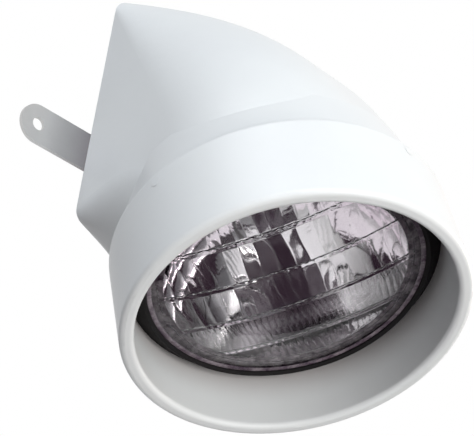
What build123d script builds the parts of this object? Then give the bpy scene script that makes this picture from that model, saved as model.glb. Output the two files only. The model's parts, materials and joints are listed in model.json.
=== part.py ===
from build123d import *
import math
import os

# Mast light: a moulded hood on the front of a boat's mast that throws the beam of a
# sealed lamp down onto the foredeck. Millimetres, +Z up. The mast face is the plane
# y = 0, the light stands ahead of it towards -Y and is symmetric about x = 0, and
# z = 0 is the height of the two strap holes.
# Stations are places along the beam, measured from the plane of the lamp's face.

# Aim and place of the lamp
beam_angle = 66.5          # beam below the horizontal, degrees
lamp_drop = 53.0           # centre of the lamp face below the strap holes
shroud_standoff = 1.06     # shroud ahead of the plane of the hood's back

# Running gaps and seats
slip_clearance = 0.2       # parts that slide or drop into each other
screw_clearance = 0.2
seal_face_gap = 0.05       # soft faces that lie on hard ones

# Sealed beam lamp: a banded lens and a silvered glass bowl fused at the rim
lamp_radius = 56.7
rim_front = -0.8           # station of the rim's front face
lens_rim_width = 2.7       # flat rim round the dome
lens_rim_thickness = 3.8
lens_dome = 6.6            # rise of the lens centre above its rim
lens_wall = 3.2
lens_band_count = 5
lens_band_pitch = 21.0
lens_rib_width = 1.8
lens_rib_depth = 1.2
lamp_turn = 62.0           # lens bands turned about the beam, degrees
bowl_rim_width = 5.7
bowl_rim_thickness = 3.7
bowl_depth = 39.0          # outside, behind the rim
bowl_wall = 2.6
tip_radius = 3.0           # sealed glass tip of the exhaust tube
tip_height = 5.0
contact_spread = 15.0      # lamp contacts off the lamp axis
contact_radius = 6.0
contact_thickness = 2.0
glass_foot_height = 3.0    # glass pads that carry the contacts
lug_length = 17.0
lug_width = 9.0
lug_thickness = 1.0
terminal_screw_radius = 2.0
terminal_head_radius = 4.0
terminal_head_height = 2.4
terminal_slot_width = 1.0
terminal_slot_depth = 1.0
post_radius = 0.8
post_rise = 4.0            # bent part of a filament post, along the beam
post_bend = 1.8
filament_radius = 1.5
filament_length = 7.0

# Rubber ring round the lamp's rim
ring_play = 0.25           # groove round the rim, so that the lamp turns by hand
ring_cover = 1.2           # lip over the front of the lens rim
ring_grip = 3.9            # lip behind the rim
ring_wall = 5.65
ring_pad = 2.0             # rubber between the rim and the spigot's end
ring_flange = 4.2          # flange clamped by the shroud
ring_hub = 4.7             # part that enters the spigot
ring_nose = 0.9            # station of the ring's foremost edge
ring_nose_width = 1.4
ring_nose_fall = 0.8

# Shroud: the round front part of the casing
shelf_width = 1.4          # step in its bore that holds the ring down
shroud_wall = 3.9
shroud_flare = 0.5
shroud_front = 22.8        # station of the rim
shroud_lip_round = 2.2
shroud_rear_round = 3.0
spigot_length = 8.5        # how far the hood's spigot enters

# Collar of the hood
collar_wall = 3.8
collar_land = 1.7          # straight part behind the shroud
shoulder_length = 20.5
shoulder_fall = 4.2        # taper of the shoulder in radius
bore_depth = 16.7
collar_seal_inset = 2.0    # seal and screws from the shroud's rear edge
collar_seal_radius = 1.1
seal_groove_depth = 2.1
seal_groove_width = 2.6
shroud_screw_count = 4
shroud_screw_inset = 5.4
shroud_screw_radius = 1.2
shroud_screw_head = 2.0
shroud_screw_proud = 0.15
shroud_screw_length = 6.6

# Hood: outlines on planes that fan about the heel line, below and behind the collar
heel_drop = 10.0           # heel line below the centre of the lamp face
hood_wall = 4.0
hood_half_width = 56.2
hood_foot = 24.0           # foot and crown of the back outline above the heel line
hood_crown = 142.5
crown_corner = 7.5
foot_corner = 6.0          # where the side meets the sloping foot
keel_corner = 14.0         # where the sloping foot meets the flat keel
foot_run = 21.5            # sloping foot of the back outline
foot_rise = 8.5
# At the collar the outline is nearly round. Each row is one plane: its share of the
# turn to the collar, then how far foot, crown, width, crown corner, foot slope and
# foot corners have gone from the back outline to the collar's
hood_shares = [
    (0.00, 0.00, 0.00, 0.00, 0.00, 0.00, 0.00),
    (0.33, 0.46, 0.51, 0.38, 0.69, 0.30, 0.25),
    (0.66, 0.79, 0.93, 0.75, 0.85, 0.70, 0.66),
    (1.00, 1.00, 1.00, 1.00, 1.00, 1.00, 1.00),
]
collar_side_cover = 0.5    # collar's outline outside the shoulder at the sides
collar_foot_inset = 0.7
collar_crown_inset = 0.8
round_corner = 0.95        # corner radii at the collar, as a share of the shoulder
round_slope = 0.57         # foot slope at the collar, likewise

# Back plate, its seal and its screws
rebate_inset = 2.0
plate_thickness = 3.0
plate_clearance = 0.25
seal_thickness = 0.6
seal_width = 1.6
boss_radius = 5.0
boss_length = 16.0
boss_inset = 8.0
boss_crown_drop = 15.0
boss_foot_rise = 34.0
plate_screw_radius = 1.9
plate_screw_head = 3.8
plate_screw_length = 12.0

# Mounting strap and its fasteners
strap_width = 17.0
strap_thickness = 1.5
strap_hole_spacing = 164.8
strap_hole_radius = 2.8
strap_screw_spacing = 56.0
strap_screw_radius = 2.5
strap_screw_head = 4.8
strap_screw_length = 12.0
washer_radius = 5.0
washer_thickness = 1.0
nut_flats = 8.0
nut_height = 4.0

# Cable entry
grommet_drop = 24.0
cable_hole_radius = 5.0
cable_radius = 3.2
grommet_play = 0.1
grommet_face_gap = 0.02
grommet_flange_radius = 7.5
grommet_flange = 1.3
grommet_nose = 1.0

# Radii, from the lamp outwards
lens_edge_radius = lamp_radius - lens_rim_width
bowl_mouth_radius = lamp_radius - bowl_rim_width
lamp_face_radius = lamp_radius - ring_cover
ring_lip_radius = lamp_radius - ring_grip
ring_groove_radius = lamp_radius + ring_play
shroud_bore_radius = ring_groove_radius + ring_wall + slip_clearance
collar_radius = shroud_bore_radius + shelf_width
socket_radius = collar_radius + slip_clearance
shroud_rear_radius = socket_radius + shroud_wall
shroud_front_radius = shroud_rear_radius + shroud_flare
collar_bore_radius = collar_radius - collar_wall
shoulder_radius = collar_radius - shoulder_fall

# Stations, from the lamp backwards
rim_joint = rim_front - lens_rim_thickness
rim_back = rim_joint - bowl_rim_thickness
spigot_end = rim_back - ring_pad
ring_shelf = spigot_end + ring_flange + 2 * seal_face_gap
shroud_rear = spigot_end - spigot_length
shoulder_start = shroud_rear - collar_land
shoulder_end = shoulder_start - shoulder_length
bore_end = spigot_end - bore_depth
collar_seal_station = shroud_rear + collar_seal_inset
shroud_screw_station = shroud_rear + shroud_screw_inset

# The light's own directions, and the lamp's place ahead of the hood's back
beam_sine = math.sin(math.radians(beam_angle))
beam_cosine = math.cos(math.radians(beam_angle))
beam = Vector(0, -beam_cosine, -beam_sine)
hood_back = -strap_thickness
lamp_reach = (
    shroud_rear_radius * beam_sine
    - (shroud_rear + shroud_rear_round) * beam_cosine
    + shroud_standoff
)
lamp_centre = Vector(0, hood_back - lamp_reach, -lamp_drop)
# local X stays the light's X, local Y points up and ahead, local Z along the beam
lamp_plane = Plane(origin=lamp_centre, x_dir=(1, 0, 0), z_dir=beam)
heel = Vector(0, hood_back, -lamp_drop - heel_drop)
collar_middle = lamp_reach * beam_sine + heel_drop * beam_cosine


def turned(*outline):
    """A ring or cup turned about the lamp axis from (radius, station) corners"""
    profile = Plane.XZ * make_face(Polyline(*outline, close=True))
    return revolve(profile, Axis.Z)


def disc(radius, start, end):
    """A plain cylinder on the lamp axis between two stations"""
    return Pos(0, 0, start) * extrude(Circle(radius), end - start)


def between(back, collar, share):
    """A size on its way from the back outline to the collar's"""
    return back + (collar - back) * share


def hood_outline(shares, inset=0.0):
    """One closed outline of the hood, drawn in by inset all round"""
    turn, foot, crown, width, top_corner, slope, low_corner = shares
    angle = math.radians(beam_angle * turn)
    foot = between(hood_foot, collar_middle - shoulder_radius + collar_foot_inset, foot)
    crown = between(hood_crown, collar_middle + shoulder_radius - collar_crown_inset, crown)
    side = between(hood_half_width, shoulder_radius + collar_side_cover, width)
    run = between(foot_run, round_slope * shoulder_radius, slope)
    rise = between(foot_rise, round_slope * shoulder_radius, slope)
    top = between(crown_corner, round_corner * shoulder_radius, top_corner)
    bend = between(foot_corner, round_corner * shoulder_radius, low_corner)
    keel = between(keel_corner, round_corner * shoulder_radius, low_corner)

    fall = math.atan2(rise, run)
    corner_shift = inset * math.tan((math.pi / 2 - fall) / 2)
    keel_shift = inset * math.tan(fall / 2)
    knee = (side - inset, foot + rise + corner_shift)
    toe = (side - run - keel_shift, foot + inset)
    head = (side - inset, crown - inset)
    right = [toe, knee, head]
    left = [(-x, z) for x, z in reversed(right)]
    face = make_face(Polyline(*right, *left, close=True))
    for corner, radius in ((toe, keel), (knee, bend), (head, top)):
        for x in (corner[0], -corner[0]):
            place = Vector(x, corner[1], 0)
            vertex = face.vertices().sort_by_distance(place)[0]
            face = fillet(vertex, radius - inset)
    outward = Vector(0, -math.sin(angle), math.cos(angle))
    plane = Plane(origin=heel, x_dir=(1, 0, 0), z_dir=Vector(1, 0, 0).cross(outward))
    return plane * face


def back_piece(inset, start, depth):
    """A flat piece of the back outline's shape, from start towards the front"""
    face = hood_outline(hood_shares[0], inset)
    return Pos(0, start - hood_back, 0) * extrude(face, depth, dir=(0, -1, 0))


def ahead_of_back(shape):
    """The part of a shape that lies ahead of the hood's flat back"""
    reach = 2 * (hood_crown + shroud_rear_radius + lamp_reach)
    return shape & (Pos(0, hood_back - reach / 2, 0) * Box(reach, reach, reach))


def make_rear_housing():
    """Hood, collar and spigot in one moulding, open at the mast face and the collar"""
    hood = loft([hood_outline(shares) for shares in hood_shares])
    collar = turned(
        (0, spigot_end),
        (collar_radius, spigot_end),
        (collar_radius, shoulder_start),
        (shoulder_radius, shoulder_end),
        (0, shoulder_end),
    )
    shell = ahead_of_back(hood + lamp_plane * collar)
    shell = shell - loft([hood_outline(shares, hood_wall) for shares in hood_shares])
    shell = shell - lamp_plane * disc(collar_bore_radius, bore_end, spigot_end)
    rebate = seal_thickness + plate_thickness
    for x, z in plate_screw_places():
        boss = extrude(Plane.XZ * Circle(boss_radius), boss_length)
        shell = shell + (hood & Pos(x, hood_back - rebate, z) * boss)
    shell = shell - back_piece(rebate_inset, hood_back, rebate)
    for x, z in plate_screw_places():
        shell = shell - plate_screw(x, z, screw_clearance)
    groove_floor = collar_radius - seal_groove_depth
    groove_side = seal_groove_width / 2
    shell = shell - lamp_plane * turned(
        (groove_floor, collar_seal_station - groove_side),
        (socket_radius, collar_seal_station - groove_side),
        (socket_radius, collar_seal_station + groove_side),
        (groove_floor, collar_seal_station + groove_side),
    )
    for screw in shroud_screw_shapes(screw_clearance):
        shell = shell - screw
    return shell


def plate_screw_places():
    """Centres of the four back plate screws as (x, z)"""
    x = hood_half_width - boss_inset
    return [
        (side * x, heel.Z + z)
        for side in (-1, 1)
        for z in (hood_foot + boss_foot_rise, hood_crown - boss_crown_drop)
    ]


def countersunk_screw(radius, head_radius, length, grow=0.0):
    """A flat head screw with its head's face at the origin, running to +Z"""
    cone = head_radius - radius
    outline = Polyline(
        (0, 0),
        (head_radius + grow, 0),
        (radius + grow, cone),
        (radius + grow, length),
        (0, length),
        close=True,
    )
    return revolve(Plane.XZ * make_face(outline), Axis.Z)


def plate_screw(x, z, grow=0.0):
    """A back plate screw, head flush with the back and shank to the front"""
    seat = Plane(origin=(x, hood_back, z), x_dir=(1, 0, 0), z_dir=(0, -1, 0))
    return seat * countersunk_screw(plate_screw_radius, plate_screw_head, plate_screw_length, grow)


def shroud_radius(station):
    """Outside of the shroud at that station, which flares a little to the front"""
    share = (station - shroud_rear) / (shroud_front - shroud_rear)
    return shroud_rear_radius + shroud_flare * share


def shroud_screw_shapes(grow=0.0):
    """Small screws spaced round the shroud, heads outwards"""
    seat = Plane(
        origin=(shroud_radius(shroud_screw_station) + shroud_screw_proud, 0, shroud_screw_station),
        x_dir=(0, 1, 0),
        z_dir=(-1, 0, 0),
    )
    screw = countersunk_screw(shroud_screw_radius, shroud_screw_head, shroud_screw_length, grow)
    step = 360 / shroud_screw_count
    return [lamp_plane * (Rot(0, 0, step * k) * (seat * screw)) for k in range(shroud_screw_count)]


def make_front_shroud():
    """Round hood ring with a rounded lip, slipped over the spigot"""
    ring = turned(
        (socket_radius, shroud_rear),
        (shroud_rear_radius, shroud_rear),
        (shroud_front_radius, shroud_front),
        (shroud_bore_radius, shroud_front),
        (shroud_bore_radius, ring_shelf),
        (socket_radius, ring_shelf),
    )
    circles = ring.edges().filter_by(GeomType.CIRCLE)
    ring = fillet(circles.group_by(Axis.Z)[-1], shroud_lip_round)
    rear = ring.edges().filter_by(GeomType.CIRCLE).group_by(Axis.Z)[0]
    ring = fillet(rear.sort_by(SortBy.RADIUS)[-1], shroud_rear_round)
    ring = lamp_plane * ring
    for screw in shroud_screw_shapes():
        ring = ring - screw
    return ring


def make_collar_seal():
    """Round cord seal in the spigot's groove"""
    centre = collar_radius - seal_groove_depth + seal_face_gap + collar_seal_radius
    profile = Plane.XZ * (Pos(centre, collar_seal_station) * Circle(collar_seal_radius))
    return lamp_plane * revolve(profile, Axis.Z)


def make_lamp_ring():
    """Rubber ring that grips the lamp's rim and is clamped on the spigot's end"""
    hub = collar_bore_radius - slip_clearance
    flange = socket_radius - slip_clearance
    flange_back = spigot_end + seal_face_gap
    flange_front = flange_back + ring_flange
    return lamp_plane * turned(
        (ring_lip_radius, spigot_end - ring_hub),
        (hub, spigot_end - ring_hub),
        (hub, flange_back),
        (flange, flange_back),
        (flange, flange_front),
        (shroud_bore_radius - slip_clearance, flange_front),
        (lamp_face_radius + ring_nose_width, ring_nose),
        (lamp_face_radius, ring_nose - ring_nose_fall),
        (lamp_face_radius, rim_front + ring_play),
        (ring_groove_radius, rim_front + ring_play),
        (ring_groove_radius, rim_back - ring_play),
        (ring_lip_radius, rim_back - ring_play),
    )


def dome_curve(edge, station, rise):
    """Half of a shallow dome's arc, from its edge at that station to its top"""
    sphere = (edge * edge + rise * rise) / (2 * rise)
    middle = edge / 2
    height = rise - sphere + math.sqrt(sphere * sphere - middle * middle)
    return ThreePointArc((edge, station), (middle, station + height), (0, station + rise))


def make_lamp_lens():
    """Domed lens with a flat rim, and straight ribs between its bands behind"""
    inner_edge = lens_edge_radius - lens_wall
    inner_rise = lens_dome + lens_rim_thickness - lens_wall
    outer = dome_curve(lens_edge_radius, rim_front, lens_dome)
    inner = dome_curve(inner_edge, rim_joint, inner_rise)
    outline = [
        outer,
        Line(outer @ 1, inner @ 1),
        inner,
        Polyline(
            (inner_edge, rim_joint),
            (lamp_radius, rim_joint),
            (lamp_radius, rim_front),
            (lens_edge_radius, rim_front),
        ),
    ]
    lens = revolve(Plane.XZ * make_face(outline), Axis.Z)
    hollow = [inner, Polyline((0, rim_joint + inner_rise), (0, rim_joint), (inner_edge, rim_joint))]
    dome = revolve(Plane.XZ * make_face(hollow), Axis.Z)
    deeper = Pos(0, 0, -lens_rib_depth) * dome
    for k in range(lens_band_count - 1):
        y = (k - (lens_band_count - 2) / 2) * lens_band_pitch
        bar = Pos(0, y, 0) * Box(2 * lamp_radius, lens_rib_width, 2 * lamp_radius)
        lens = lens + ((dome & bar) - deeper)
    return lamp_plane * (Rot(0, 0, lamp_turn) * lens)


def bowl_curve(vertex, mouth, edge, count=7):
    """A paraboloid's profile from its mouth to its vertex"""
    shares = [1 - k / (count - 1) for k in range(count)]
    return [(edge * share, vertex + (mouth - vertex) * share**2) for share in shares]


def bowl_surface(radius, wall=0.0):
    """Station of the bowl's outside, or of its inside with a wall, at that radius"""
    vertex = rim_back - bowl_depth + wall
    mouth = rim_back if wall == 0 else rim_joint
    return vertex + (mouth - vertex) * (radius / (bowl_mouth_radius - wall)) ** 2


def contact_seat():
    """Station of the flat feet that carry the lamp's contacts"""
    return bowl_surface(contact_spread - contact_radius) - glass_foot_height


def make_lamp_reflector():
    """Silvered glass bowl with two glass feet and the sealed exhaust tip"""
    vertex = rim_back - bowl_depth
    inner_mouth = bowl_mouth_radius - bowl_wall
    outside = Spline(*bowl_curve(vertex, rim_back, bowl_mouth_radius))
    inside = Spline(*bowl_curve(vertex + bowl_wall, rim_joint, inner_mouth))
    outline = [
        outside,
        Line(outside @ 1, inside @ 1),
        inside,
        Polyline(
            (inner_mouth, rim_joint),
            (lamp_radius, rim_joint),
            (lamp_radius, rim_back),
            (bowl_mouth_radius, rim_back),
        ),
    ]
    bowl = revolve(Plane.XZ * make_face(outline), Axis.Z)
    space = [inside, Polyline((inner_mouth, rim_joint), (0, rim_joint), (0, vertex + bowl_wall))]
    hollow = revolve(Plane.XZ * make_face(space), Axis.Z)
    for side in (-1, 1):
        foot = disc(contact_radius, contact_seat(), rim_back - bowl_depth / 2)
        bowl = bowl + (Pos(side * contact_spread, 0, 0) * foot - hollow)
    tip_centre = vertex - tip_height + tip_radius
    tip = Pos(0, 0, tip_centre) * Sphere(tip_radius)
    bowl = bowl + (tip + disc(tip_radius, tip_centre, vertex + bowl_wall / 2))
    return lamp_plane * (Rot(0, 0, lamp_turn) * bowl)


def lamp_pair(shape_at):
    """The same piece at both contacts of the lamp"""
    turn = Rot(0, 0, lamp_turn)
    return [
        lamp_plane * (turn * (Pos(side * contact_spread, 0, 0) * shape_at(side))) for side in (-1, 1)
    ]


def make_lamp_contacts():
    """Two metal caps sealed on the glass feet"""
    seat = contact_seat()
    return lamp_pair(lambda side: disc(contact_radius, seat - contact_thickness, seat))


def make_terminal_lugs():
    """Two flat brass lugs held under the terminal screws"""
    top = contact_seat() - contact_thickness

    def lug(side):
        face = Pos(side * (lug_length - lug_width) / 2, 0) * SlotOverall(lug_length, lug_width)
        face = face - Circle(terminal_screw_radius + screw_clearance)
        return Pos(0, 0, top - lug_thickness) * extrude(face, lug_thickness)

    return lamp_pair(lug)


def make_terminal_screws():
    """Two cheese head screws with a driver slot"""
    seat = contact_seat() - contact_thickness
    under_head = seat - lug_thickness
    face = under_head - terminal_head_height

    def screw(side):
        head = disc(terminal_head_radius, face, under_head)
        slot = Pos(0, 0, face) * Box(
            3 * terminal_head_radius, terminal_slot_width, 2 * terminal_slot_depth
        )
        return head - slot + disc(terminal_screw_radius, under_head, seat)

    return lamp_pair(screw)


def filament_station():
    """Focus of the bowl, where the filament stands"""
    vertex = rim_back - bowl_depth + bowl_wall
    edge = bowl_mouth_radius - bowl_wall
    return vertex + edge * edge / (4 * (rim_joint - vertex))


def make_filament_posts():
    """Two stiff wires from the bowl to the focus, bent towards each other"""
    foot = bowl_surface(contact_spread, bowl_wall) + post_radius
    focus = filament_station()
    reach = contact_spread - filament_length / 2

    def post(side):
        knee = (0, 0, focus - post_rise)
        route = FilletPolyline((0, 0, foot), knee, (-side * reach, 0, focus), radius=post_bend)
        section = Plane(origin=route @ 0, z_dir=route % 0) * Circle(post_radius)
        return sweep(section, path=route)

    return lamp_pair(post)


def make_filament():
    """The round rod that the coiled wire fills, just ahead of the post ends"""
    length = filament_length + 2 * post_radius
    rod = Rot(0, 90, 0) * Cylinder(filament_radius, length)
    ahead = post_radius + filament_radius
    return lamp_plane * (Rot(0, 0, lamp_turn) * (Pos(0, 0, filament_station() + ahead) * rod))


def make_back_plate():
    """Flat plate that closes the mast face"""
    plate = back_piece(rebate_inset + plate_clearance, hood_back, plate_thickness)
    for x, z in plate_screw_places():
        plate = plate - plate_screw(x, z, screw_clearance)
    for screw in strap_screw_shapes(screw_clearance):
        plate = plate - screw
    hole = extrude(Plane.XZ * Circle(cable_hole_radius), plate_thickness)
    return plate - Pos(0, hood_back, -grommet_drop) * hole


def make_back_seal():
    """Thin flat seal between the back plate and its shelf"""
    start = hood_back - plate_thickness
    inset = rebate_inset + plate_clearance
    return back_piece(inset, start, seal_thickness) - back_piece(inset + seal_width, start, seal_thickness)


def make_plate_screws():
    """Four flush screws through the back plate"""
    return [plate_screw(x, z) for x, z in plate_screw_places()]


def make_mounting_strap():
    """Flat stainless strap with round ends, one mast screw hole near each"""
    face = SlotOverall(strap_hole_spacing + strap_width, strap_width)
    for side in (-1, 1):
        face = face - Pos(side * strap_hole_spacing / 2, 0) * Circle(strap_hole_radius)
    strap = extrude(Plane.XZ * face, strap_thickness)
    for screw in strap_screw_shapes(screw_clearance):
        strap = strap - screw
    return strap


def on_strap_screws(shape):
    """The same piece on both strap screws, local Z to the front"""
    x = strap_screw_spacing / 2
    return [
        Plane(origin=(side * x, 0, 0), x_dir=(1, 0, 0), z_dir=(0, -1, 0)) * shape for side in (-1, 1)
    ]


def strap_screw_shapes(grow=0.0):
    """Flush screws that hold the strap to the back plate"""
    return on_strap_screws(
        countersunk_screw(strap_screw_radius, strap_screw_head, strap_screw_length, grow)
    )


def make_strap_washers():
    """Plain washers inside the back plate"""
    start = strap_thickness + plate_thickness
    face = Circle(washer_radius) - Circle(strap_screw_radius + screw_clearance)
    return on_strap_screws(Pos(0, 0, start) * extrude(face, washer_thickness))


def make_strap_nuts():
    """Hexagon nuts on the strap screws"""
    start = strap_thickness + plate_thickness + washer_thickness
    face = RegularPolygon(nut_flats / 2, 6, major_radius=False) - Circle(strap_screw_radius)
    return on_strap_screws(Pos(0, 0, start) * extrude(face, nut_height))


def make_cable_grommet():
    """Rubber grommet for the mast cable, grooved for the back plate"""
    body = cable_hole_radius - grommet_play
    inside = plate_thickness + grommet_face_gap
    nose = inside + grommet_flange + grommet_nose
    outline = Polyline(
        (cable_radius, -grommet_flange),
        (grommet_flange_radius, -grommet_flange),
        (grommet_flange_radius, -grommet_face_gap),
        (body, -grommet_face_gap),
        (body, inside),
        (grommet_flange_radius, inside),
        (body, nose),
        (cable_radius, nose),
        close=True,
    )
    seat = Plane(origin=(0, hood_back, -grommet_drop), x_dir=(1, 0, 0), z_dir=(0, -1, 0))
    return seat * revolve(Plane.XZ * make_face(outline), Axis.Z)


def save(name, shape):
    """Write one node's solids to its own file"""
    pieces = shape if isinstance(shape, list) else [shape]
    solids = [solid for piece in pieces for solid in piece.solids()]
    whole = solids[0] if len(solids) == 1 else Compound(children=solids)
    export_step(whole, f"parts/{name}.step")


os.makedirs("parts", exist_ok=True)
save("rear_housing", make_rear_housing())
save("front_shroud", make_front_shroud())
save("shroud_screws", shroud_screw_shapes())
save("collar_seal", make_collar_seal())
save("lamp_ring", make_lamp_ring())
save("lamp_lens", make_lamp_lens())
save("lamp_reflector", make_lamp_reflector())
save("lamp_contacts", make_lamp_contacts())
save("terminal_lugs", make_terminal_lugs())
save("terminal_screws", make_terminal_screws())
save("filament_posts", make_filament_posts())
save("lamp_filament", make_filament())
save("back_plate", make_back_plate())
save("back_seal", make_back_seal())
save("plate_screws", make_plate_screws())
save("mounting_strap", make_mounting_strap())
save("strap_screws", strap_screw_shapes())
save("strap_washers", make_strap_washers())
save("strap_nuts", make_strap_nuts())
save("cable_grommet", make_cable_grommet())
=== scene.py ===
import json
import math
import bpy
import numpy as np
from mathutils import Matrix, Vector


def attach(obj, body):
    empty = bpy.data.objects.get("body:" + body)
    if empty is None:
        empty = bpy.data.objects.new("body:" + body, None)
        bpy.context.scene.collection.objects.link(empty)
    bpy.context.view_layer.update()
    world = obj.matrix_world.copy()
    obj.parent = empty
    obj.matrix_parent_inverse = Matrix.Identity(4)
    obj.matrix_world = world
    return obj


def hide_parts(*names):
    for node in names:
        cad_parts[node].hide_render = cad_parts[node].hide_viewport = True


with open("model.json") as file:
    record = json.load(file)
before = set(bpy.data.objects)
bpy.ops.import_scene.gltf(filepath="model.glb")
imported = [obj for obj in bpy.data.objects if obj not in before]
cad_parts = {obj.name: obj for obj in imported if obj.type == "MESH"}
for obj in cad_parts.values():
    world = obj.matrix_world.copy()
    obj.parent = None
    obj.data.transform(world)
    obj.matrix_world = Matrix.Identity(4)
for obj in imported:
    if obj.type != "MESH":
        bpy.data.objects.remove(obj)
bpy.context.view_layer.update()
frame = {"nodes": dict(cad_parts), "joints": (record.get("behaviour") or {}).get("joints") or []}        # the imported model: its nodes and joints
nodes = frame["nodes"]
print("frame loaded with", len(nodes), "nodes")

# The lamp's own axes: z runs along the beam, x to the right seen from ahead, y ahead and up
lampJoint = frame["joints"][0]
lampCentre = np.array(lampJoint["pos_m"], float)
lampZ = np.array(lampJoint["axis"], float)
lampZ = lampZ / np.linalg.norm(lampZ)
lampX = np.array((1.0, 0.0, 0.0))
lampY = np.cross(lampZ, lampX)


# Camera at the photograph's height, side and tilt
cameraPlace = {
    "position": (-0.3856, -0.4799, -0.3276),
    "azimuth": -41.0,
    "elevation": -28.0,
    "roll": 8.2,
    "lens": 121.5,
    "sensor": 36.0,
    "clip": (0.01, 20.0),
}


def makeCamera():
    a, e, r = (math.radians(cameraPlace[k]) for k in ("azimuth", "elevation", "roll"))
    back = Vector((math.sin(a) * math.cos(e), -math.cos(a) * math.cos(e), math.sin(e)))
    level = Vector((math.cos(a), math.sin(a), 0.0))
    over = back.cross(level)
    right = level * math.cos(r) + over * math.sin(r)      # the picture leans by the roll
    up = over * math.cos(r) - level * math.sin(r)
    data = bpy.data.cameras.new("photoCamera")
    data.lens = cameraPlace["lens"]
    data.sensor_width = cameraPlace["sensor"]
    data.clip_start, data.clip_end = cameraPlace["clip"]
    camera = bpy.data.objects.new("photoCamera", data)
    bpy.context.scene.collection.objects.link(camera)
    camera.matrix_world = Matrix((right, up, back)).transposed().to_4x4()
    camera.location = cameraPlace["position"]
    bpy.context.scene.camera = camera


makeCamera()
bpy.context.scene.view_settings.view_transform = "Standard"
print("camera placed")


# Shader maths: a wrapped socket adds its own Math nodes when it meets an operator
class Wire:
    def __init__(self, paint, socket):
        self.paint, self.socket = paint, socket

    def math(self, operation, first, second):
        return self.paint.add("Math", {"operation": operation}, {0: first, 1: second})[0]

    def __add__(self, other):
        return self.math("ADD", self, other)

    def __radd__(self, other):
        return self.math("ADD", other, self)

    def __sub__(self, other):
        return self.math("SUBTRACT", self, other)

    def __rsub__(self, other):
        return self.math("SUBTRACT", other, self)

    def __mul__(self, other):
        return self.math("MULTIPLY", self, other)

    def __rmul__(self, other):
        return self.math("MULTIPLY", other, self)

    def __abs__(self):
        return self.math("ABSOLUTE", self, 0.0)


class Outputs:
    def __init__(self, paint, node):
        self.paint, self.node = paint, node

    def __getitem__(self, key):
        return Wire(self.paint, self.node.outputs[key])


class Paint:
    def __init__(self, name, tree=None):
        if tree is None:
            self.material = bpy.data.materials.new(name)
            self.material.use_nodes = True
            tree = self.material.node_tree
        self.tree = tree
        tree.nodes.clear()

    def add(self, kind, settings=None, inputs=None):
        node = self.tree.nodes.new("ShaderNode" + kind)
        for key, value in (settings or {}).items():
            setattr(node, key, value)
        for key, value in (inputs or {}).items():
            if isinstance(value, Wire):
                self.tree.links.new(value.socket, node.inputs[key])
            else:
                node.inputs[key].default_value = value
        return Outputs(self, node)

    def place(self):
        return self.add("TexCoord")["Object"]

    def vector(self, operation, first, second=(0.0, 0.0, 0.0)):
        return self.add("VectorMath", {"operation": operation}, {0: first, 1: second})

    def noise(self, scale, detail=3.0, roughness=0.6, where=None):
        where = where or self.place()
        inputs = {"Vector": where, "Scale": scale, "Detail": detail, "Roughness": roughness}
        return self.add("TexNoise", {}, inputs)["Fac"]

    def mix(self, fac, first, second):
        return self.add("Mix", {"data_type": "RGBA"}, {0: fac, 6: first, 7: second})[2]

    def bump(self, height, distance, strength):
        inputs = {"Height": height, "Distance": distance, "Strength": strength}
        return self.add("Bump", {}, inputs)["Normal"]

    def spread(self, value, near, far, kind="LINEAR"):
        # 0 up to the near value, 1 from the far one
        ends = {"Value": value, "From Min": near, "From Max": far}
        return self.add("MapRange", {"interpolation_type": kind}, ends)["Result"]

    def fromBeam(self, near, far):
        # 0 within the near radius round the beam's axis, 1 beyond the far one
        arm = self.vector("SUBTRACT", self.place(), tuple(lampCentre))["Vector"]
        side = self.vector("CROSS_PRODUCT", arm, tuple(lampZ))["Vector"]
        return self.spread(self.vector("LENGTH", side)["Value"], near, far)

    def alongBeam(self, near, far):
        # 0 before the near station on the beam's axis, 1 beyond the far one
        arm = self.vector("SUBTRACT", self.place(), tuple(lampCentre))["Vector"]
        station = self.vector("DOT_PRODUCT", arm, tuple(lampZ))["Value"]
        return self.spread(station, near, far, "SMOOTHSTEP")

    def shader(self, values):
        return self.add("BsdfPrincipled", {}, values)["BSDF"]

    def surface(self, values):
        self.add("OutputMaterial", {}, {"Surface": self.shader(values)})
        return self.material


# White moulded plastic of the hood, shroud and back plate, and the paint on the small screws,
# with painted shade in the bore where it meets the rubber ring
plastic = {
    "pale": (0.80, 0.83, 0.84, 1.0),
    "dull": (0.74, 0.76, 0.78, 1.0),
    "cloud": 18.0,                        # soft patches between pale and dull
    "cloudRoughness": 0.10,
    "peel": 420.0,                        # fine texture off the mould
    "peelDepth": 0.00006,
    "peelStrength": 0.5,
    "roughness": 0.34,
    "coat": 0.15,
    "grime": (0.42, 0.36, 0.36, 1.0),     # painted shade where the bore meets the rubber ring
    "grimeDepth": 0.55,
    "grimeEven": 0.7,                     # its even part, and the part that follows the cloud
    "grimeCloud": 0.6,
    "grimeRadius": (0.0632, 0.0638),
    "grimeStart": (-0.020, -0.012),       # stations along the beam, from the lamp's face
    "grimeEnd": (-0.006, 0.012),
}


def makePlastic(name):
    p = Paint(name)
    cloud = p.noise(plastic["cloud"], detail=4.0)
    speck = p.noise(plastic["peel"], detail=2.0, roughness=0.5)
    unshaded = p.mix(cloud, plastic["pale"], plastic["dull"])
    # painted shade: the bore is darker next to the rubber ring, where shade falls
    inBore = 1.0 - p.fromBeam(*plastic["grimeRadius"])
    nearRing = p.alongBeam(*plastic["grimeStart"]) * (1.0 - p.alongBeam(*plastic["grimeEnd"]))
    patches = plastic["grimeEven"] + plastic["grimeCloud"] * cloud
    grime = inBore * nearRing * plastic["grimeDepth"] * patches
    return p.surface({
        "Base Color": p.mix(grime, unshaded, plastic["grime"]),
        "Roughness": plastic["roughness"] + plastic["cloudRoughness"] * cloud,
        "Normal": p.bump(speck, plastic["peelDepth"], plastic["peelStrength"]),
        "IOR": 1.5,
        "Coat Weight": plastic["coat"],
        "Coat Roughness": 0.15,
    })


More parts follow.
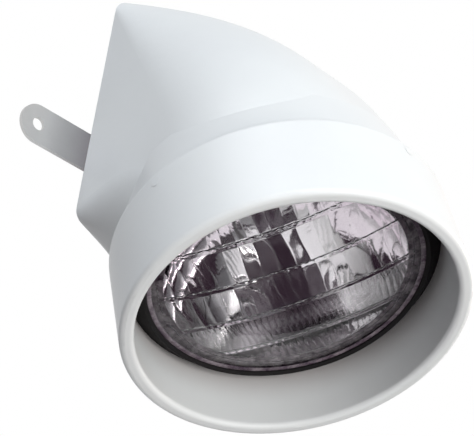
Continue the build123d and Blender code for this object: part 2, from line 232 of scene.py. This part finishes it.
# Rubber of the ring, seal and grommet, and the foam under the back plate
rubber = {
    "grain": 900.0,
    "grainDepth": 0.00005,
    "grainStrength": 0.4,
    "grainRoughness": 0.2,
    "cast": (1.1, 0.8, 1.0),
    "bloom": 45.0,            # patches of paler bloom
    "bloomTone": 2.2,
    "gloss": 0.12,
}


def makeRubber(name, tone=0.006, rough=0.55):
    p = Paint(name)
    grain = p.noise(rubber["grain"])
    bloom = p.noise(rubber["bloom"])
    dark = tuple(tone * c for c in rubber["cast"]) + (1.0,)
    pale = (tone * rubber["bloomTone"],) * 3 + (1.0,)
    return p.surface({
        "Base Color": p.mix(bloom, dark, pale),
        "Roughness": rough + rubber["grainRoughness"] * grain,
        "Specular IOR Level": rubber["gloss"],
        "Normal": p.bump(grain, rubber["grainDepth"], rubber["grainStrength"]),
    })


# Brushed metal of the strap, fasteners, contacts, lugs and wires, with painted shade on the
# strap near the housing
metal = {
    "brush": (40.0, 900.0, 900.0),        # grain runs along X
    "brushDepth": 0.00004,
    "brushRoughness": 0.15,
    "patch": 60.0,
    "patchTone": 0.8,
    # painted shade on the strap near the housing, and how strong it is
    "dirt": (0.15, 0.125, 0.14, 1.0),
    "dirtDepth": 0.75,
}


def makeMetal(name, tone, rough=0.28, brushed=0.5, tint=(1.0, 1.0, 1.0), unshaded=None):
    # the last argument gives the two distances from the middle plane between which the painted
    # shade near the housing fades out
    p = Paint(name)
    stretch = p.add("Mapping", {}, {"Vector": p.place(), "Scale": metal["brush"]})["Vector"]
    grain = p.noise(1.0, detail=4.0, roughness=0.7, where=stretch)
    patch = p.noise(metal["patch"])
    dark = tuple(tone * metal["patchTone"] * c for c in tint) + (1.0,)
    light = tuple(tone * c for c in tint) + (1.0,)
    colour = p.mix(patch, dark, light)
    if unshaded:
        # painted shade: darker towards the middle plane, where the strap runs near and behind
        # the housing
        aside = p.add("SeparateXYZ", {}, {0: p.place()})["X"]
        dirt = metal["dirtDepth"] * (1.0 - p.spread(abs(aside), *unshaded))
        colour = p.mix(dirt, colour, metal["dirt"])
    return p.surface({
        "Base Color": colour,
        "Metallic": 1.0,
        "Roughness": rough + metal["brushRoughness"] * grain,
        "Normal": p.bump(grain, metal["brushDepth"], brushed),
    })


# Glass of the lens
clearGlass = {
    "colour": (0.93, 0.94, 0.94, 1.0),
    "wave": 260.0,
    "waveDepth": 0.0001,
    "waveStrength": 0.25,
    "roughness": 0.02,
    "waveRoughness": 0.04,
}


def makeGlass(name):
    p = Paint(name)
    wave = p.noise(clearGlass["wave"])
    return p.surface({
        "Base Color": clearGlass["colour"],
        "Roughness": clearGlass["roughness"] + clearGlass["waveRoughness"] * wave,
        "IOR": 1.5,
        "Transmission Weight": 1.0,
        "Normal": p.bump(wave, clearGlass["waveDepth"], clearGlass["waveStrength"]),
    })


# Silvered glass bowl: bright inside, mottled on its flat rim
mirror = {
    "dull": (0.90, 0.84, 0.885, 1.0),
    "bright": (0.97, 0.93, 0.96, 1.0),
    "bloom": 55.0,
    "rimRadius": (0.0480, 0.0484),
    "rimDark": (0.09, 0.06, 0.085, 1.0),
    "rimPale": (0.55, 0.49, 0.53, 1.0),
    "crumb": 150.0,
    "crumbRange": (0.40, 0.66),
    "roughness": 0.03,
    "bloomRoughness": 0.05,
    "rimRoughness": 0.22,
    "rimMetal": 0.4,
}


def makeMirror(name):
    p = Paint(name)
    bloom = p.noise(mirror["bloom"], detail=4.0)
    rim = p.fromBeam(*mirror["rimRadius"])
    crumb = p.noise(mirror["crumb"], detail=5.0, roughness=0.7)
    silver = p.mix(bloom, mirror["dull"], mirror["bright"])
    flat = p.spread(crumb, *mirror["crumbRange"])
    flat = p.mix(flat, mirror["rimDark"], mirror["rimPale"])
    gloss = mirror["roughness"] + mirror["bloomRoughness"] * bloom
    return p.surface({
        "Base Color": p.mix(rim, silver, flat),
        "Metallic": 1.0 - (1.0 - mirror["rimMetal"]) * rim,
        "Roughness": gloss + mirror["rimRoughness"] * rim,
    })


# Fused rim of the two glasses, cloudy and dark with the silver behind it
fusedRim = {
    "dark": (0.085, 0.06, 0.085, 1.0),
    "pale": (0.30, 0.26, 0.29, 1.0),
    "cloud": 150.0,
    "cloudRange": (0.40, 0.66),
    "streak": 420.0,
    "streakDepth": 0.00008,
    "streakStrength": 0.5,
    "roughness": 0.16,
    "streakRoughness": 0.2,
    "coat": 0.4,
}


def makeRim(name):
    p = Paint(name)
    streak = p.noise(fusedRim["streak"], detail=4.0, roughness=0.65)
    cloud = p.noise(fusedRim["cloud"], detail=5.0, roughness=0.7)
    cloud = p.spread(cloud, *fusedRim["cloudRange"])
    return p.surface({
        "Base Color": p.mix(cloud, fusedRim["dark"], fusedRim["pale"]),
        "Roughness": fusedRim["roughness"] + fusedRim["streakRoughness"] * streak,
        "Coat Weight": fusedRim["coat"],
        "Normal": p.bump(streak, fusedRim["streakDepth"], fusedRim["streakStrength"]),
    })


finishes = {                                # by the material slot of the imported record
    "hood_plastic": makePlastic("hoodPlastic"),
    "shroud_plastic": makePlastic("shroudPlastic"),
    "small_steel": makePlastic("paintedSteel"),
    "seal_rubber": makeRubber("sealRubber"),
    "ring_rubber": makeRubber("ringRubber"),
    "lens_glass": makeGlass("lensGlass"),
    "silvered_glass": makeMirror("silveredGlass"),
    "plated_metal": makeMetal("platedMetal", 0.7, 0.2),
    "brass_lug": makeMetal("brassLug", 0.8, 0.25, 0.3, (1.0, 0.78, 0.42)),
    "brass_screw": makeMetal("brassScrew", 0.8, 0.25, 0.3, (1.0, 0.8, 0.45)),
    "post_wire": makeMetal("postWire", 0.5),
    "filament_wire": makeMetal("filamentWire", 0.35),
    "plate_plastic": makePlastic("platePlastic"),
    "seal_foam": makeRubber("sealFoam", 0.05, 0.8),
    "plate_screw_steel": makeMetal("plateScrewSteel", 0.6),
    # painted shade on the strap near the housing and behind it
    "strap_steel": makeMetal("strapSteel", 0.58, 0.32, unshaded=(0.052, 0.078)),
    "strap_screw_steel": makeMetal("strapScrewSteel", 0.6),
    "washer_steel": makeMetal("washerSteel", 0.6),
    "nut_steel": makeMetal("nutSteel", 0.6),
    "grommet_rubber": makeRubber("grommetRubber"),
}
for node in nodes.values():
    node.material_slots[0].material = finishes[node.material_slots[0].material.name]
print("finishes laid on", len(nodes), "nodes")


# Lens: a banded dome whose inner face carries ribs between the bands and flutes across them
lens = {
    "turn": 62.0,             # ribs turned about the beam, degrees
    "rimWidth": 0.0027,
    "wall": 0.0032,
    "bands": 5,
    "bandPitch": 0.0203,
    "bandShift": -0.0012,
    "bandCrown": 0.0007,
    "ribHeight": 0.0011,
    "ribWidth": 0.0026,
    "beadPitch": 0.0030,      # low beads along each rib
    "beadShare": 0.35,
    "beadTurn": 1.3,          # shift of the beads from rib to rib
    "fluteDepth": (0.00028, 0.00026, 0.00045, 0.00045, 0.00040),
    "flutePitch": (0.0030, 0.0024, 0.0056, 0.0060, 0.0050),
    "fluteRound": 0.96,       # 1 would make each flute a half ellipse
    "fluteShift": 0.37,       # pitches, from band to band
    "swayWidth": 0.0004,      # uneven pressing of the glass
    "swayLength": 0.006,      # along the ribs, for each radian
    "swayAcross": 2.1,
    "swayTurn": 3.7,          # shift of the sway from band to band
    "fade": 0.002,            # the relief dies out over this at the rim
    "round": 0.0006,          # edges of the rim
    "rimStart": 0.1,          # the fused rim starts this share of a wall inside the dome's edge
    "onRim": 0.99,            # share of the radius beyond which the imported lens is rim
    "around": 640,
    "reliefRings": 118,
    "domeRings": 26,
}


def inLamp(node):
    # radius from the beam axis, and station along it, of a node's points
    points = np.array([v.co for v in node.data.vertices]) - lampCentre
    station = points @ lampZ
    return np.linalg.norm(points - np.outer(station, lampZ), axis=1), station


def smoothStep(x):
    # 3 times the square less 2 times the cube, between 0 and 1
    x = np.clip(x, 0.0, 1.0)
    return x * x * (3.0 - 2.0 * x)


def reliefAt(x, y):
    # extra glass at a point of the inner face, x along the ribs and y across them
    pitch, bands = lens["bandPitch"], lens["bands"]
    place = (y - lens["bandShift"]) / pitch + bands / 2
    band = np.clip(np.floor(place), 0, bands - 1).astype(int)
    across = 2.0 * (place - band) - 1.0
    # crown: 1 less the square of the way across the band, from its middle
    crown = lens["bandCrown"] * (1.0 - np.clip(across, -1.0, 1.0) ** 2)
    # flute: root of 1 less a share of the square of the way from its middle; a sine sways it
    phase = lens["swayAcross"] * across + lens["swayTurn"] * band + x / lens["swayLength"]
    sway = lens["swayWidth"] * np.sin(phase)
    turnOfFlute = (x + sway) / np.array(lens["flutePitch"])[band] + lens["fluteShift"] * band
    fromMiddle = 2.0 * (turnOfFlute - np.floor(turnOfFlute)) - 1.0
    ridge = np.sqrt(1.0 - lens["fluteRound"] * fromMiddle**2)
    flute = np.array(lens["fluteDepth"])[band] * ridge
    # rib: 1 plus the cosine of the way from a border between bands, lowered by a cosine's beads
    border = np.round(place)
    inner = (border > 0) & (border < bands)
    share = np.clip(np.abs(place - border) * pitch / (lens["ribWidth"] / 2), 0.0, 1.0)
    beads = np.cos(2 * math.pi * x / lens["beadPitch"] + lens["beadTurn"] * border)
    height = lens["ribHeight"] * (1.0 - lens["beadShare"] * (0.5 + 0.5 * beads))
    rib = np.where(inner, height * 0.5 * (1.0 + np.cos(math.pi * share)), 0.0)
    return crown + flute + rib


def domeStation(r, edge, low, rise):
    # a shallow ball's cap: the root of the ball's square less the radius's, over its edge circle
    ball = (edge * edge + rise * rise) / (2 * rise)
    return low + rise - ball + np.sqrt(ball * ball - r * r)


def roundedCorners(corners, radius, steps=4):
    # a (radius, station) path with its inner corners cut by short parabolas, each drawn to its
    # corner by 2 t (1 - t), which take up to 0.4 of a side
    path = [corners[0]]
    for before, corner, after in zip(corners, corners[1:], corners[2:]):
        a, b, c = (np.array(q, float) for q in (before, corner, after))
        cut = min(radius, 0.4 * np.linalg.norm(a - b), 0.4 * np.linalg.norm(c - b))
        start = b + (a - b) / np.linalg.norm(a - b) * cut
        end = b + (c - b) / np.linalg.norm(c - b) * cut
        for t in np.linspace(0.0, 1.0, steps + 1):
            path.append(tuple((1 - t) ** 2 * start + 2 * t * (1 - t) * b + t * t * end))
    return path + [corners[-1]]


def polarMesh(name, rings):
    # rings of points from one pole to the other, closed by a fan at each pole
    count, around, _ = rings.shape
    points = np.concatenate([rings[:1, 0], rings[1:-1].reshape(-1, 3), rings[-1:, 0]])
    k = np.arange(around)
    nextK = (k + 1) % around
    row = 1 + np.arange(count - 3)[:, None] * around
    below = row + around
    quads = np.stack([row + k, below + k, below + nextK, row + nextK], -1).reshape(-1, 4)
    last = 1 + (count - 3) * around
    first = np.stack([np.zeros_like(k), 1 + k, 1 + nextK], -1)
    end = np.stack([last + k, np.full_like(k, len(points) - 1), last + nextK], -1)
    mesh = bpy.data.meshes.new(name)
    mesh.from_pydata(points.tolist(), [], first.tolist() + quads.tolist() + end.tolist())
    mesh.polygons.foreach_set("use_smooth", [True] * len(mesh.polygons))
    mesh.update()
    return mesh


def lensPath(edge):
    # (radius, station) from the dome's top round the flange to the middle of the inner face
    radius, station = inLamp(nodes["lamp_lens"])
    onRim = radius > lens["onRim"] * radius.max()
    rim, top, joint = radius.max(), station.max(), station[onRim].min()
    front = station[onRim].max()
    wall = lens["wall"]
    outer = edge * np.sin(np.linspace(0.0, math.pi / 2, lens["domeRings"]))
    dome = [(r, domeStation(r, edge, front, top - front)) for r in outer]
    flange = [(edge, front), (rim, front), (rim, joint)]
    flange += [(edge - wall, joint), (edge - 2 * wall, joint)]
    flange = roundedCorners(flange, lens["round"])[1:-1]
    inner = np.linspace(edge - wall, 0.0, lens["reliefRings"])
    bowl = [(r, domeStation(r, edge - wall, joint, top - wall - joint)) for r in inner]
    return np.array(dome + flange + bowl)


def lensRings(path, edge):
    # the path turned about the beam: radius times cosine, radius times sine, and station, with
    # the relief taken from the inner face's stations and the whole turned to the ribs' angle
    turn = np.linspace(0.0, 2 * math.pi, lens["around"], endpoint=False)
    x = path[:, :1] * np.cos(turn)
    y = path[:, :1] * np.sin(turn)
    z = np.repeat(path[:, 1:], len(turn), axis=1)
    inner = slice(len(path) - lens["reliefRings"], None)
    fade = smoothStep((edge - lens["wall"] - path[inner, :1]) / lens["fade"])
    z[inner] -= fade * reliefAt(x[inner], y[inner])
    z[-1], z[0] = z[-1].mean(), z[0].mean()
    tilt = math.radians(lens["turn"])
    along = lampX * math.cos(tilt) + lampY * math.sin(tilt)
    across = lampY * math.cos(tilt) - lampX * math.sin(tilt)
    return lampCentre + x[..., None] * along + y[..., None] * across + z[..., None] * lampZ


def makeLens():
    edge = inLamp(nodes["lamp_lens"])[0].max() - lens["rimWidth"]
    mesh = polarMesh("bandedLens", lensRings(lensPath(edge), edge))
    mesh.materials.append(finishes["lens_glass"])
    mesh.materials.append(makeRim("fusedRim"))
    middles = np.zeros(len(mesh.polygons) * 3)
    mesh.polygons.foreach_get("center", middles)
    away = middles.reshape(-1, 3) - lampCentre
    away = np.linalg.norm(away - np.outer(away @ lampZ, lampZ), axis=1)
    onRim = away > edge - lens["rimStart"] * lens["wall"]
    mesh.polygons.foreach_set("material_index", onRim.astype(int))
    piece = bpy.data.objects.new("bandedLens", mesh)
    bpy.context.scene.collection.objects.link(piece)
    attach(piece, "lamp")
    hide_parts("lamp_lens")
    print("lens made with", len(mesh.polygons), "faces")


makeLens()


# Floor, white surroundings and lamps of the studio
studio = {
    "floorHeight": -0.9,
    "floorSize": 8.0,
    "floorColour": (0.46, 0.45, 0.46, 1.0),
    "floorShown": (0.86, 0.86, 0.87, 1.0),     # as the camera sees it, with this glow
    "floorGlow": 0.62,
    "floorFibre": 60.0,
    "floorFibreTone": 0.97,
    "ambient": 0.10,
    "ambientColour": (0.93, 0.96, 1.0, 1.0),
    "aim": (0.0, -0.06, -0.04),
    "lampSize": 1.0,
}
lamps = {
    "upperLeft": {"place": (-0.81, -0.87, 0.68), "power": 7.6, "colour": (0.92, 0.96, 1.0)},
    "upperSide": {"place": (-0.98, -0.35, 0.84), "power": 5.4, "colour": (0.92, 0.96, 1.0)},
    "lowFront": {"place": (0.0, -1.33, -0.49), "power": 14.4, "colour": (1.0, 0.99, 0.95)},
    "right": {"place": (1.24, -0.50, 0.28), "power": 9.5, "colour": (1.0, 0.84, 0.74)},
    "besideCamera": {"place": (-0.84, -1.03, -0.47), "power": 2.4, "colour": (1.0, 0.97, 0.97)},
}


def flatSheet(name, corners, material):
    mesh = bpy.data.meshes.new(name)
    mesh.from_pydata(corners, [], [(0, 1, 2, 3)])
    mesh.materials.append(material)
    sheet = bpy.data.objects.new(name, mesh)
    bpy.context.scene.collection.objects.link(sheet)
    return sheet


def makePaper(name):
    # plain paper that keeps its shadows and looks pale to the camera
    p = Paint(name)
    fibre = p.noise(studio["floorFibre"])

    def mottled(colour):
        deeper = tuple(studio["floorFibreTone"] * c for c in colour[:3]) + (1.0,)
        return p.mix(fibre, colour, deeper)

    lit = p.shader({"Base Color": mottled(studio["floorColour"]), "Roughness": 0.9})
    pale = p.shader({
        "Base Color": mottled(studio["floorShown"]),
        "Roughness": 0.9,
        "Emission Color": studio["floorShown"],
        "Emission Strength": studio["floorGlow"],
    })
    seen = p.add("LightPath")["Is Camera Ray"]
    both = p.add("MixShader", {}, {0: seen, 1: lit, 2: pale})["Shader"]
    p.add("OutputMaterial", {}, {"Surface": both})
    return p.material


def makeFloor():
    half, z = studio["floorSize"] / 2, studio["floorHeight"]
    corners = [(-half, -half, z), (half, -half, z), (half, half, z), (-half, half, z)]
    floor = flatSheet("floor", corners, makePaper("floorPaper"))
    floor.visible_glossy = floor.visible_transmission = False     # glass sees the white round it


def makeWorld():
    world = bpy.data.worlds.new("studioWorld")
    bpy.context.scene.world = world
    world.use_nodes = True
    p = Paint("", world.node_tree)
    path = p.add("LightPath")
    either = {0: path["Is Camera Ray"], 1: path["Is Glossy Ray"]}
    seen = p.add("Math", {"operation": "MAXIMUM"}, either)[0]
    seen = p.add("Math", {"operation": "MAXIMUM"}, {0: seen, 1: path["Is Transmission Ray"]})[0]
    dim = {"Color": studio["ambientColour"], "Strength": studio["ambient"]}
    soft = p.add("Background", {}, dim)["Background"]
    bright = {"Color": (1.0, 1.0, 1.0, 1.0), "Strength": 1.0}
    white = p.add("Background", {}, bright)["Background"]
    both = p.add("MixShader", {}, {0: seen, 1: soft, 2: white})["Shader"]
    p.add("OutputWorld", {}, {"Surface": both})


def makeLamps():
    aim = Vector(studio["aim"])
    for name, lamp in lamps.items():
        data = bpy.data.lights.new(name, "AREA")
        data.shape = "DISK"
        data.size = studio["lampSize"]
        data.energy = lamp["power"]
        data.color = lamp["colour"]
        light = bpy.data.objects.new(name, data)
        bpy.context.scene.collection.objects.link(light)
        light.location = lamp["place"]
        light.rotation_mode = "QUATERNION"
        light.rotation_quaternion = (aim - Vector(lamp["place"])).to_track_quat("-Z", "Y")


# Dark cards seen only in reflections and through glass; corners in metres from the lamp's face
darkCards = {
    "cardAhead": ((0.19, -0.82, 0.1), (-0.86, -0.27, -0.03),
                  (-0.76, 0.1, -0.47), (0.28, -0.52, -0.68)),
    "cardBelow": ((-0.03, 0.30, -0.54), (0.08, -0.29, -0.54),
                  (0.56, -0.20, -0.18), (0.44, 0.39, -0.18)),
}
cardCloth = {
    "dark": (0.012, 0.008, 0.012, 1.0),
    "pale": (0.02, 0.02, 0.02, 1.0),
    "weave": 40.0,
    "glow": (1.0, 0.25, 0.85, 1.0),
    "glowStrength": 0.014,
}


def makeDarkCards():
    p = Paint("darkCard")
    weave = p.noise(cardCloth["weave"])
    cloth = p.surface({
        "Base Color": p.mix(weave, cardCloth["dark"], cardCloth["pale"]),
        "Roughness": 1.0,
        "Emission Color": cardCloth["glow"],
        "Emission Strength": cardCloth["glowStrength"],
    })
    for name, corners in darkCards.items():
        card = flatSheet(name, [tuple(lampCentre + np.array(c)) for c in corners], cloth)
        card.visible_camera = card.visible_diffuse = card.visible_shadow = False


makeFloor()
makeWorld()
makeLamps()
makeDarkCards()
print("studio lit")
